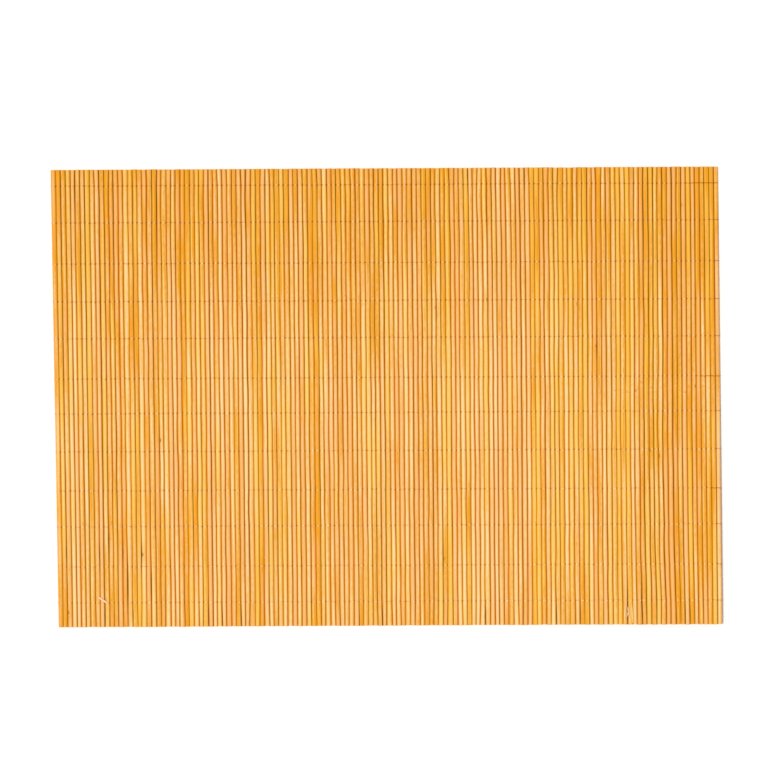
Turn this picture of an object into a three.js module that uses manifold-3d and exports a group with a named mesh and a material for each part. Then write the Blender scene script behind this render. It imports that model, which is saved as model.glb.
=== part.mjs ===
// A bamboo placemat: slim bamboo slats laid side by side and bound by twelve rows of twined thread.
// Millimetres, +Z up. +X runs along the thread rows, +Y along the slats, towards the mat's far edge.
// The origin is on the surface that the mat lies on, under the middle of its outline.
import * as THREE from "three";
import * as BufferGeometryUtils from "three/addons/utils/BufferGeometryUtils.js";
import Module from "manifold-3d";

// Outline: the mat is a little out of square, so each long edge has its own two ends.
const FAR_EDGE = { left: -221.3, right: 220.4 };
const NEAR_EDGE = { left: -217.5, right: 221.3 };
const HALF_DEPTH = { left: 151.4, right: 151.1 };

// Slats: split bamboo, with a crown on both faces and a narrow side where neighbours touch.
// The thinnest slat is thinner by the thinning, and the spreads are the whole range of a slat's own
// share of width and of where it is cut. The lap joins each slat to the next.
const SLAT_COUNT = 141;
const SLAT_THICKNESS = 2.0;
const SLAT_THINNING = 0.15;
const SLAT_SIDE_HEIGHT = 0.6;
const SLAT_CROWN_STEPS = 4;
const SLAT_WIDTH_SPREAD = 0.16;
const SLAT_END_SPREAD = 0.5;
const SLAT_LAP = 0.06;

// Thread: a twined pair in each row, which passes over and under the slats and turns at the edge slats.
// The loop of a row has the pair's outer surface, and its skin leaves a gap all round the slats.
const THREAD_SIZE = 0.5;
const THREAD_SKIN = 0.2;
const THREAD_ROW_WIDTH = 0.9;
const THREAD_TURN_ROOM = 0.15;
const THREAD_TURN_STEPS = 3;

// The rows from the far edge to the near one, with their distance from the mat's middle along Y.
const THREAD_ROWS = [
  { name: "warp_01", y: 140.6 },
  { name: "warp_02", y: 116.2 },
  { name: "warp_03", y: 89.0 },
  { name: "warp_04", y: 63.9 },
  { name: "warp_05", y: 39.4 },
  { name: "warp_06", y: 12.9 },
  { name: "warp_07", y: -10.2 },
  { name: "warp_08", y: -35.4 },
  { name: "warp_09", y: -61.2 },
  { name: "warp_10", y: -85.0 },
  { name: "warp_11", y: -111.5 },
  { name: "warp_12", y: -135.3 },
];

const MID_HEIGHT = THREAD_SIZE + SLAT_THICKNESS / 2;
const THREAD_GAP = THREAD_SIZE - THREAD_SKIN;
const GOLDEN_RATIO = 1.618033988749895;
const UNEVENNESS = { width: 1, thickness: 2, farEnd: 3, nearEnd: 5 };

const bamboo = new THREE.MeshStandardMaterial({ color: 0xf0b468, roughness: 0.5, metalness: 0 });
const thread = new THREE.MeshStandardMaterial({ color: 0xe6b45a, roughness: 0.9, metalness: 0 });

const wasm = await Module();
wasm.setup();

// An even scatter from -0.5 to 0.5 over the slats, another one for each trait.
function scatter(slat, trait) {
  const turns = (slat + 1) * GOLDEN_RATIO * trait;
  return turns - Math.floor(turns) - 0.5;
}

// The left or right edge of the mat at a distance y from its middle.
function edgeAt(side, y) {
  const along = (y + HALF_DEPTH.left) / (2 * HALF_DEPTH.left);
  return THREE.MathUtils.lerp(NEAR_EDGE[side], FAR_EDGE[side], along);
}

// Where each slat begins and ends across the mat, as fractions of its length along X.
function slatShares() {
  const widths = [];
  for (let slat = 0; slat < SLAT_COUNT; slat++) {
    widths.push(1 + SLAT_WIDTH_SPREAD * scatter(slat, UNEVENNESS.width));
  }
  const total = widths.reduce((sum, width) => sum + width, 0);
  let reached = 0;
  return widths.map((width) => {
    const share = { start: reached / total, end: (reached + width) / total };
    reached += width;
    return share;
  });
}

// A slat's section: an elliptical crown above and below its two narrow sides.
function slatSection(width, thickness) {
  const crown = (thickness - SLAT_SIDE_HEIGHT) / 2;
  const points = [];
  for (const face of [1, -1]) {
    for (let step = 0; step <= SLAT_CROWN_STEPS; step++) {
      const angle = (Math.PI * step) / SLAT_CROWN_STEPS;
      const across = (face * Math.cos(angle) * width) / 2;
      const height = face * (SLAT_SIDE_HEIGHT / 2 + crown * Math.sin(angle));
      points.push(new THREE.Vector2(across, height));
    }
  }
  return new THREE.Shape(points);
}

// One slat, extruded along Y between its own two cut ends and turned to the mat's slight fan.
function slatGeometry(slat, share) {
  const middle = (share.start + share.end) / 2;
  const far = THREE.MathUtils.lerp(FAR_EDGE.left, FAR_EDGE.right, middle);
  const near = THREE.MathUtils.lerp(NEAR_EDGE.left, NEAR_EDGE.right, middle);
  const halfDepth = THREE.MathUtils.lerp(HALF_DEPTH.left, HALF_DEPTH.right, middle);
  const width = (edgeAt("right", 0) - edgeAt("left", 0)) * (share.end - share.start) + 2 * SLAT_LAP;
  const thickness = SLAT_THICKNESS - SLAT_THINNING * (scatter(slat, UNEVENNESS.thickness) + 0.5);
  const farEnd = halfDepth + SLAT_END_SPREAD * scatter(slat, UNEVENNESS.farEnd);
  const nearEnd = -halfDepth + SLAT_END_SPREAD * scatter(slat, UNEVENNESS.nearEnd);
  const geometry = new THREE.ExtrudeGeometry(slatSection(width, thickness), {
    depth: farEnd - nearEnd,
    bevelEnabled: false,
  });
  geometry.rotateX(Math.PI / 2);
  geometry.translate(0, farEnd, MID_HEIGHT);
  geometry.rotateZ(Math.atan((near - far) / (2 * halfDepth)));
  geometry.translate((near + far) / 2, 0, 0);
  return geometry;
}

// A closed geometry as a solid that can be joined to others.
function solidOf(geometry) {
  const bare = geometry.clone();
  bare.deleteAttribute("normal");
  bare.deleteAttribute("uv");
  const merged = BufferGeometryUtils.mergeVertices(bare);
  const mesh = new wasm.Mesh({
    numProp: 3,
    vertProperties: new Float32Array(merged.attributes.position.array),
    triVerts: new Uint32Array(merged.index.array),
  });
  return new wasm.Manifold(mesh);
}

// A joined solid as a geometry.
function geometryOf(solid) {
  const mesh = solid.getMesh();
  const geometry = new THREE.BufferGeometry();
  geometry.setAttribute("position", new THREE.BufferAttribute(mesh.vertProperties, 3));
  geometry.setIndex(new THREE.BufferAttribute(mesh.triVerts, 1));
  geometry.computeVertexNormals();
  return geometry;
}

// All the slats as one flat sheet, joined along the sides where they touch.
function slatSheet() {
  const solids = slatShares().map((share, slat) => solidOf(slatGeometry(slat, share)));
  const joined = solids.reduce((sheet, solid) => sheet.add(solid));
  return geometryOf(joined);
}

// A long loop with half-round ends, as the outline of a shape or of the hole in one.
function loopPath(path, left, right, radius) {
  path.moveTo(left + radius, MID_HEIGHT - radius);
  path.lineTo(right - radius, MID_HEIGHT - radius);
  path.absarc(right - radius, MID_HEIGHT, radius, -Math.PI / 2, Math.PI / 2, false);
  path.lineTo(left + radius, MID_HEIGHT + radius);
  path.absarc(left + radius, MID_HEIGHT, radius, Math.PI / 2, (3 * Math.PI) / 2, false);
  return path;
}

// One thread row: the loop that its twined pair makes round the sheet of slats at a distance y.
function threadRow(y) {
  const left = edgeAt("left", y) - THREAD_TURN_ROOM;
  const right = edgeAt("right", y) + THREAD_TURN_ROOM;
  const outer = loopPath(new THREE.Shape(), left - THREAD_SIZE, right + THREAD_SIZE, MID_HEIGHT);
  const hole = loopPath(new THREE.Path(), left - THREAD_GAP, right + THREAD_GAP, MID_HEIGHT - THREAD_SKIN);
  outer.holes.push(hole);
  const geometry = new THREE.ExtrudeGeometry(outer, {
    depth: THREAD_ROW_WIDTH,
    bevelEnabled: false,
    curveSegments: THREAD_TURN_STEPS,
  });
  geometry.rotateX(Math.PI / 2);
  geometry.translate(0, THREAD_ROW_WIDTH / 2, 0);
  return geometry;
}

const placemat = new THREE.Group();

const slats = new THREE.Mesh(slatSheet(), bamboo);
slats.name = "slats";
placemat.add(slats);

for (const row of THREAD_ROWS) {
  const warp = new THREE.Mesh(threadRow(row.y), thread);
  warp.name = row.name;
  warp.position.y = row.y;
  placemat.add(warp);
}

export default placemat;
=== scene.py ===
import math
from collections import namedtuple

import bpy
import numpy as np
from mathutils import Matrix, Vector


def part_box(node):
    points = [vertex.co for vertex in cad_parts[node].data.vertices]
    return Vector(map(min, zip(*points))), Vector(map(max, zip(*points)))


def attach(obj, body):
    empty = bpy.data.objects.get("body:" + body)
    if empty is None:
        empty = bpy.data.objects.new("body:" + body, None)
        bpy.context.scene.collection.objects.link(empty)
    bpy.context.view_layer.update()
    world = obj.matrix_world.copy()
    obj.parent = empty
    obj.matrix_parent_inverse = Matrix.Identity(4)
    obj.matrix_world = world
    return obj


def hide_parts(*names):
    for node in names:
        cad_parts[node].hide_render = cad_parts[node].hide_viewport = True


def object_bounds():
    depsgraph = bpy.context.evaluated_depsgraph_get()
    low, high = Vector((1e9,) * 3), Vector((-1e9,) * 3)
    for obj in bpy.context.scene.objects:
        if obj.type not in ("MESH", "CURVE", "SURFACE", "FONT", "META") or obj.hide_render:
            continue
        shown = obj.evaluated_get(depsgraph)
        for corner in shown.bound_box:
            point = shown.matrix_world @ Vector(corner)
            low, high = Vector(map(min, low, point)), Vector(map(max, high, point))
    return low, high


bl_info = {
    "name": "Bamboo Placemat",
    "version": (1, 0, 0),
    "blender": (4, 5, 0),
    "location": "View3D > Sidebar > Placemat",
    "description": "A placemat of slim bamboo slats bound by rows of twined thread",
    "category": "Add Mesh",
}

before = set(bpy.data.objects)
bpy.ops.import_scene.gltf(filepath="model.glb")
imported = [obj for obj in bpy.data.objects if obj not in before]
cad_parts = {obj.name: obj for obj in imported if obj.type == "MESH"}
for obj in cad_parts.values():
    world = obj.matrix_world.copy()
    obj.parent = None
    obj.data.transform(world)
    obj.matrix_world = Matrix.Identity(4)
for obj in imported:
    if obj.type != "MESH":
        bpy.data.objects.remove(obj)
CAD_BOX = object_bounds()

MM = 0.001
BODY = "root"

# The sheet of slats, as the frame has it. The proportion is that of its width to its depth.
SLAT_COUNT = 141
SLAT_WIDTH_SPREAD = 0.16
SLAT_END_SPREAD = 0.5 * MM
THREAD_STAND = 0.5 * MM
THREAD_TURN_ROOM = 0.15 * MM
GOLDEN_RATIO = 1.618033988749895
UNEVENNESS = {"width": 1, "thickness": 2}
PROPORTION = 1.46

# How finely the surfaces are divided.
SLAT_SIDES = 12
SPANS_BETWEEN_ROWS = 3
THREAD_SIDES = 6
THREAD_STEPS = 8
SLIVER_SIDES = 6
SLIVER_RINGS = 14

# The strips of the baking maps: how many rows they fill, and the free edges beside and beyond a strip.
# The cuts of the slats lie in the free edges: their place there, and their half width and height.
SLAT_MAP = {"rows": 3, "beside": 0.06, "beyond": 0.05, "cut": 0.024, "cut_u": 0.4, "cut_v": 0.018}
THREAD_MAP = {"rows": 24, "beside": 0.1, "beyond": 0.005}

# The slats' section: how its squareness and its crest vary, its size at a cut, the swelling's reach.
SQUARENESS_SPREAD = 0.25
CREST_SPREAD = 0.09
CUT_SIZE = 0.93
SWELL_REACH = 5 * MM

# The grain's coordinates: a section's girth as a share of its box's, how far apart two slats are in
# the pattern, and the middle and the half sizes of a cut in it.
GIRTH_SHARE = 0.85
GRAIN_APART = 1.37
CUT_GRAIN = {"middle": 4, "round": 1.3, "along": 1.0}

# The slats' lines: how fast their wander grows inwards from the mat's edges, and where the shear fades.
EDGE_CALM = 12
SHEAR_FADE = {"start": 0.15, "stop": 0.24}

# Joints of the slats that are in no group: the share that has one, their range along Y, and the part of
# it that the mat covers. Then how far a group's joints stray from its line.
JOINT_SHARE = 0.35
JOINT_RANGE = 0.6
JOINT_INSIDE = 0.14
JOINT_STRAY = 2.4 * MM

# How pale a slat is: by its own draw, with its neighbours, towards the right edge, towards the far
# edge, and in the middle of the mat, whose reach across and along follows. Then how much warmth varies.
TONE = {"own": 0.22, "shared": 0.07, "right": -0.15, "far": -0.35, "middle": 0.18}
TONE_MIDDLE = {"x": 0.12, "y": 0.08}
WARMTH_SPREAD = 0.3

# How dark the painted shade on a slat's flanks is: by the gap's own draw, towards the far edge, towards
# the right edge, by a slow change along the gap, and what is taken off. Then where the painted shade on
# the mat's outer sides stops, as they have no neighbour to shade them.
FLANK_SHADE = {"own": 0.42, "far": 0.17, "right": 0.16, "slow": 0.25, "off": 0.1}
OUTER_SIDE = 0.55

# How much each part of the grain makes a slat paler or deeper, and how much the grain changes its tint.
GRAIN_TONE = {"Drift": 1.0, "Halves": 2.3, "Streaks": 1.9, "Blotches": 1.1}
GRAIN_TINT = 1.8

# The thread: the exponent of its arch over a slat, and how much wider it is between two slats.
THREAD_DIVE = 0.7
PRESSED_WIDENING = 0.12

# The stain at a row's right end: its reach in most rows and in the long-stained ones, its strengths.
STAIN = {"reach": 5 * MM, "strength": 0.18}
LONG_STAIN = {"warp_01": 16 * MM, "warp_06": 11 * MM, "warp_09": 7 * MM, "strength": 0.45}

# How much deeper in colour the thread is at the far edge than in the middle, and paler at the near
# edge, and the share of it that the middle has too.
ROW_SHADE = 0.07
ROW_SHADE_MIDDLE = 0.2

# The slivers: how far above the slats their ends lie, the arch's height, the share of the width that
# is their height, and the least size of a point.
SLIVER_STAND = 0.1 * MM
SLIVER_RISE = 0.25 * MM
SLIVER_FLATNESS = 0.45
SLIVER_POINT = 0.004

FLOOR_HALF = 3.0


def table(columns, *rows):
    """A short table, whose rows are read by the names of its columns."""
    Row = namedtuple("Row", columns)
    return [Row(*row) for row in rows]


# The mat's low waves across the slats, and how far apart the turns of their tilt are.
RIPPLES = table(
    "length phase height",
    (0.0470, 0.8, 0.6),
    (0.0263, 2.1, 0.4),
)
RIPPLE_TILT = 0.081

# Open places between two slats, a little wider and painted with dark shade down in the gap: the gap's
# middle, its reach along the slats and how dark it is.
OPEN_GAPS = table(
    "x y reach dark",
    (-0.1865, -0.1450, 0.012, 1.0),
    (-0.1839, -0.0960, 0.009, 1.0),
    (-0.1620, -0.1039, 0.008, 0.8),
    (-0.1705, -0.1240, 0.014, 0.9),
    (-0.2117, -0.1022, 0.009, 0.8),
    (-0.1899, -0.1052, 0.007, 0.7),
    (-0.1739, -0.1005, 0.006, 0.7),
    (-0.1553, -0.1229, 0.011, 0.7),
    (-0.1680, -0.1423, 0.006, 0.7),
    (0.0377, -0.1072, 0.008, 0.8),
    (-0.0285, -0.0986, 0.007, 0.6),
    (0.0330, 0.0589, 0.006, 0.6),
    (0.1396, 0.0331, 0.007, 0.7),
    (-0.1178, -0.1470, 0.012, 0.8),
    (-0.1079, -0.1470, 0.010, 0.8),
    (-0.0953, -0.1470, 0.010, 0.8),
    (-0.0026, -0.1470, 0.010, 0.9),
    (0.0662, -0.1470, 0.010, 0.8),
    (0.1125, -0.1470, 0.012, 0.8),
    (0.1277, -0.1470, 0.010, 0.8),
    (0.1595, -0.1420, 0.016, 1.0),
    (0.1694, -0.1400, 0.018, 1.0),
    (0.1965, -0.1450, 0.012, 1.0),
    (0.2005, -0.1450, 0.010, 0.8),
    (0.0556, 0.1470, 0.010, 0.8),
    (0.0933, 0.1470, 0.010, 0.8),
    (-0.2040, 0.1400, 0.018, 0.8),
    (-0.1990, 0.1200, 0.050, 0.6),
    (-0.1520, 0.1250, 0.030, 0.7),
)

# Places where neighbouring slats lean sideways together: the middle, the reach each way, the shift.
LEANS = table(
    "x y reach_x reach_y shift",
    (0.075, 0.151, 0.045, 0.040, -0.00045),
    (0.190, -0.151, 0.030, 0.035, 0.00125),
    (0.190, -0.020, 0.045, 0.050, -0.00035),
    (-0.140, 0.151, 0.030, 0.035, 0.00025),
)

# Small brown knots and bruises: their middle, their half length and how dark they are.
KNOTS = table(
    "x y reach dark",
    (-0.1495, -0.0278, 0.0020, 1.0),
    (-0.2104, -0.1416, 0.0014, 0.8),
    (0.0668, 0.0642, 0.0020, 0.9),
    (0.1800, -0.0400, 0.0026, 0.8),
    (0.1747, -0.0364, 0.0014, 0.7),
    (0.1648, 0.0033, 0.0014, 0.7),
    (0.2038, 0.0060, 0.0016, 0.7),
    (0.1264, 0.0609, 0.0014, 0.6),
    (0.1396, 0.0331, 0.0014, 0.7),
    (-0.1837, -0.0957, 0.0022, 1.0),
    (-0.1617, -0.1036, 0.0020, 1.0),
    (-0.1813, -0.0820, 0.0013, 0.5),
    (-0.0046, -0.0920, 0.0014, 0.5),
    (0.0377, -0.1072, 0.0016, 0.6),
    (0.0330, 0.0589, 0.0014, 0.6),
    (-0.0540, 0.0640, 0.0014, 0.5),
    (-0.0230, 0.0650, 0.0013, 0.5),
    (0.1965, 0.1260, 0.0018, 0.5),
    (0.1602, -0.1440, 0.0050, 0.4),
    (0.1578, -0.1430, 0.0045, 0.3),
)

# Groups of neighbouring slats that were split from one cane, so that their joints lie near one line.
CANE_GROUPS = table(
    "first last y strength",
    (2, 12, 0.1120, 0.5),
    (13, 24, -0.0560, 0.5),
    (26, 38, 0.0930, 0.4),
    (40, 52, 0.0660, 0.9),
    (58, 76, 0.0640, 0.7),
    (77, 86, -0.1150, 0.5),
    (88, 99, 0.0300, 0.4),
    (100, 112, -0.0810, 0.5),
    (118, 140, 0.0050, 1.0),
)

# Slats that stand out by their own colour: where, how pale, and how red.
ODD_SLATS = table(
    "x tone warmth",
    (0.1840, 0.02, 0.75),
    (0.2058, 0.00, 0.60),
    (-0.1350, 0.05, 0.55),
    (-0.0850, 0.10, 0.30),
    (0.1640, 0.95, 0.40),
    (-0.2090, 0.95, 0.30),
    (-0.1700, 0.98, 0.35),
    (0.0120, 0.95, 0.30),
    (-0.2180, 0.25, 0.60),
    (0.2190, 0.60, 0.75),
)

# Slivers that have torn loose: their two ends, their width and how pink they are.
SLIVERS = table(
    "start_x start_y end_x end_y width pink",
    (-0.1918, -0.1310, -0.1842, -0.1362, 0.0016, 1.0),
    (0.1576, -0.1375, 0.1570, -0.1497, 0.0009, 0.0),
    (0.1588, -0.1392, 0.1606, -0.1502, 0.0006, 0.3),
    (0.1604, -0.1378, 0.1584, -0.1470, 0.0005, 0.0),
    (0.1618, -0.1371, 0.1622, -0.1508, 0.0008, 0.1),
    (0.1595, -0.1440, 0.1612, -0.1505, 0.0005, 0.0),
)


def linear(red, green, blue):
    """A screen colour from 0 to 255 as linear light from 0 to 1, by the sRGB curve."""
    shares = (red / 255, green / 255, blue / 255)
    return tuple(c / 12.92 if c <= 0.04045 else ((c + 0.055) / 1.055) ** 2.4 for c in shares)


def number(name, default, description, **more):
    """A number that the user can change."""
    return bpy.props.FloatProperty(name=name, description=description, default=default, **more)


def length(name, default, description, least=0.0):
    """A length in metres that the user can change."""
    return number(name, default, description, min=least, precision=5, unit="LENGTH")


def share(name, default, description, most=1.0):
    """A number from zero up that the user can change."""
    return number(name, default, description, min=0.0, max=most)


def angle(name, degrees, description):
    """An angle that the user can change."""
    return number(name, math.radians(degrees), description, unit="ROTATION")


def colour(name, default, description):
    """A colour that the user can change, in linear light."""
    return bpy.props.FloatVectorProperty(
        name=name, description=description, default=default, size=3, min=0, max=1, subtype="COLOR"
    )


class PLACEMAT_PG_slats(bpy.types.PropertyGroup):
    gap: length("Gap", 0.06 * MM, "Space between neighbouring slats, where the threads pass")
    opening: length("Opening", 0.06 * MM, "How much wider a gap is at a dark open place")
    thickness: length("Thickness", 2.0 * MM, "Height of the thickest slat's section")
    thinning: length("Thinning", 0.22 * MM, "How much thinner the thinnest slat is")
    squareness: share("Squareness", 2.38, "Exponent of the rounded section: 2 is an ellipse", most=6.0)
    roll: angle("Roll", 4.5, "How far a slat may lean about its own length")
    bow: length("Bow", 0.11 * MM, "How far a slat wanders sideways between two rows")
    jog: length("Jog", 0.08 * MM, "How far a slat steps sideways at a row")
    shear: length("Shear", 0.5 * MM, "How far all slats lean to the right at the far edge")
    splay: length("Splay", 0.17 * MM, "How far a slat's free end wanders sideways")
    waver: share("Waver", 0.01, "How much a slat's thickness changes along it")
    swell: share("Swell", 0.03, "How much a slat is thicker at a joint of the cane")
    chamfer: length("Chamfer", 0.18 * MM, "Worn edge at a cut end")
    seed: bpy.props.IntProperty(name="Seed", description="Start of the random draws", default=7)


class PLACEMAT_PG_thread(bpy.types.PropertyGroup):
    thickness: length("Thickness", 0.42 * MM, "Thickness of a strand over a slat")
    width: length("Width", 0.54 * MM, "Width of a strand over a slat")
    pressed: length("Pressed thickness", 0.06 * MM, "Thickness of a strand between two slats")
    spacing: length("Spacing", 0.40 * MM, "Distance between the two strands where they cross")
    stray: length("Stray", 0.11 * MM, "How far a row strays from its straight line")
    twist: length("Twist", 0.9 * MM, "Length of one turn of the strand's own plies")


class PLACEMAT_PG_lie(bpy.types.PropertyGroup):
    corner_lift: length("Corner lift", 4.0 * MM, "How far the near right corner stands up")
    corner_start: share("Corner start", 0.35, "Where the lift begins, as a share of half the width")
    ripple: length("Ripple", 0.22 * MM, "Height of the low waves in the mat")


class PLACEMAT_PG_colours(bpy.types.PropertyGroup):
    pale: colour("Pale bamboo", linear(250, 208, 146), "The palest slats")
    deep: colour("Deep bamboo", linear(233, 154, 28), "The deepest slats")
    rosy: colour("Rosy bamboo", linear(248, 189, 128), "The pinker tint that some slats have")
    golden: colour("Golden bamboo", linear(247, 192, 82), "The yellower tint that other slats have")
    # Painted shade: the slats' sides are painted these deeper oranges towards the gaps, for the shade and
    # warm bounced light there; the grain's dark vessels also take the plain side colour.
    side: colour("Slat sides", linear(228, 145, 0), "The sides of the slats, down in the gaps")
    golden_side_shade: colour("Golden sides", linear(242, 184, 48), "The sides of the yellower slats")
    # Painted shade: the dark brown mixed into the slats' flanks down in the gaps, darkest at the open
    # places.
    gap_shade: colour("Crevices", linear(112, 64, 1), "The flanks of the slats at a dark open place")
    joint: colour("Joint line", linear(232, 132, 38), "The smudge that the cane's joint leaves")
    fleck: colour("Joint flecks", linear(255, 224, 160), "Pale flecks where the cane's joint was cut")
    knot: colour("Knots", linear(84, 54, 8), "Knots and bruises")
    end: colour("Cut ends", linear(222, 176, 112), "The slats' cut ends")
    thread: colour("Thread", linear(251, 201, 108), "The binding thread")
    # Painted shade: the deeper colour painted into the grooves between the thread's plies.
    thread_groove_shade: colour("Thread grooves", linear(220, 146, 44), "Between the plies of the thread")
    # Painted shade on the thread where it dives between two slats; the stain at a row's right end takes
    # this colour too.
    thread_dive_shade_and_stain: colour("Thread in the gaps", linear(194, 111, 0), "The thread where it dives in")
    # Painted highlight: the near-white spots on the thread where it crosses a slat's crown.
    thread_highlight: colour("Pale thread", linear(255, 243, 176), "The cleanest parts of the thread")
    sliver: colour("Sliver", linear(246, 198, 170), "Pink raw bamboo of a torn sliver")


class PLACEMAT_PG_stage(bpy.types.PropertyGroup):
    frame_width: length("Frame width", 509.5 * MM, "Width that the picture shows at the mat")
    aim_x: length("Aim X", -0.7 * MM, "Point under the camera", least=-1.0)
    aim_y: length("Aim Y", 7.9 * MM, "Point under the camera", least=-1.0)
    roll: angle("Camera roll", -0.30, "Turn of the camera about its line of sight")
    lens: number("Lens", 150.0, "Focal length in millimetres")
    key: share("Key light", 2.35, "Strength of the overhead light", most=20.0)
    key_spread: angle("Key spread", 10.0, "Width of the overhead light as seen from the mat")
    key_lean: angle("Key lean", 15.0, "How far the overhead light stands to the left of upright")
    sky: share("Sky", 0.42, "Strength of the even light all round", most=5.0)
    floor: colour("Floor", linear(246, 246, 246), "The floor")


def scatter(trait):
    """The frame's even scatter of a trait over the slats: the fraction of each slat's multiple of the
    golden ratio, less a half."""
    turns = (np.arange(SLAT_COUNT) + 1) * GOLDEN_RATIO * UNEVENNESS[trait]
    return turns - np.floor(turns) - 0.5


def smooth_step(low, high, value):
    """A smooth climb from 0 at low to 1 at high, as the cubic 3 t squared less 2 t cubed."""
    t = np.clip((value - low) / (high - low), 0, 1)
    return t * t * (3 - 2 * t)


def smooth_noise(rng, waves):
    """A wandering line over the slats near -1 to 1: a sum of sines of random phase, each shorter."""
    at = np.linspace(0, 1, SLAT_COUNT)
    line = np.zeros(SLAT_COUNT)
    for wave in range(1, waves + 1):
        line += np.sin(2 * np.pi * (wave * at + rng.random())) / math.sqrt(waves)
    return line


def signed_power(value, power):
    """A power that keeps the value's sign."""
    return np.sign(value) * np.abs(value) ** power


def nearest(values, target):
    """The number of the value that lies nearest to a target."""
    return int(np.argmin(np.abs(values - target)))


def side_by_side(*columns):
    """Columns of numbers of like shape as rows, one row for each corner."""
    return np.stack(np.broadcast_arrays(*columns), axis=-1).reshape(-1, len(columns))


def thread_nodes():
    """The names of the frame's thread rows, from the far edge to the near one."""
    return sorted(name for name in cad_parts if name.startswith("warp_"))


def outline():
    """The mat's outline from the frame: the rows' places along Y, straight lines through the rows' left
    and right ends, the near and far cut, and the height of the slats' middle."""
    boxes = [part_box(name) for name in thread_nodes()]
    rows = np.array([(low[1] + high[1]) / 2 for low, high in boxes])
    lefts = np.array([low[0] for low, high in boxes]) + THREAD_STAND + THREAD_TURN_ROOM
    rights = np.array([high[0] for low, high in boxes]) - THREAD_STAND - THREAD_TURN_ROOM
    low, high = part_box("slats")
    return {
        "rows": rows,
        "left": np.polyfit(rows, lefts, 1),
        "right": np.polyfit(rows, rights, 1),
        "near": low[1] + SLAT_END_SPREAD / 2,
        "far": high[1] - SLAT_END_SPREAD / 2,
        "middle": (low[2] + high[2]) / 2,
    }


def line_shares():
    """The lines between the slats as shares of the mat's width, as the frame has them."""
    widths = 1 + SLAT_WIDTH_SPREAD * scatter("width")
    reached = np.r_[0, np.cumsum(widths)][:, None]
    return reached / reached[-1]


def lift(x, y):
    """How far each place of the mat moves up: low waves across the slats, and a corner that rises with
    the square of the way to the right and straight towards the near edge. All of it first sinks by what
    a strand is thinner than the frame's thread, so that the strands reach the surface."""
    settings = bpy.context.scene.placemat_lie
    half = outline()["far"]
    waves = 1
    for ripple in RIPPLES:
        waves = waves + ripple.height * np.sin(x / ripple.length + ripple.phase)
    tilt = 1 + np.sin(x / RIPPLE_TILT) * y / half / 2
    right = np.clip((x / half / PROPORTION - settings.corner_start) / (1 - settings.corner_start), 0, 1)
    towards = np.clip((half - y) / (2 * half), 0, 1)
    sink = THREAD_STAND - bpy.context.scene.placemat_thread.thickness
    return settings.ripple / 4 * waves * tilt + settings.corner_lift * right**2 * towards - sink


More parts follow.
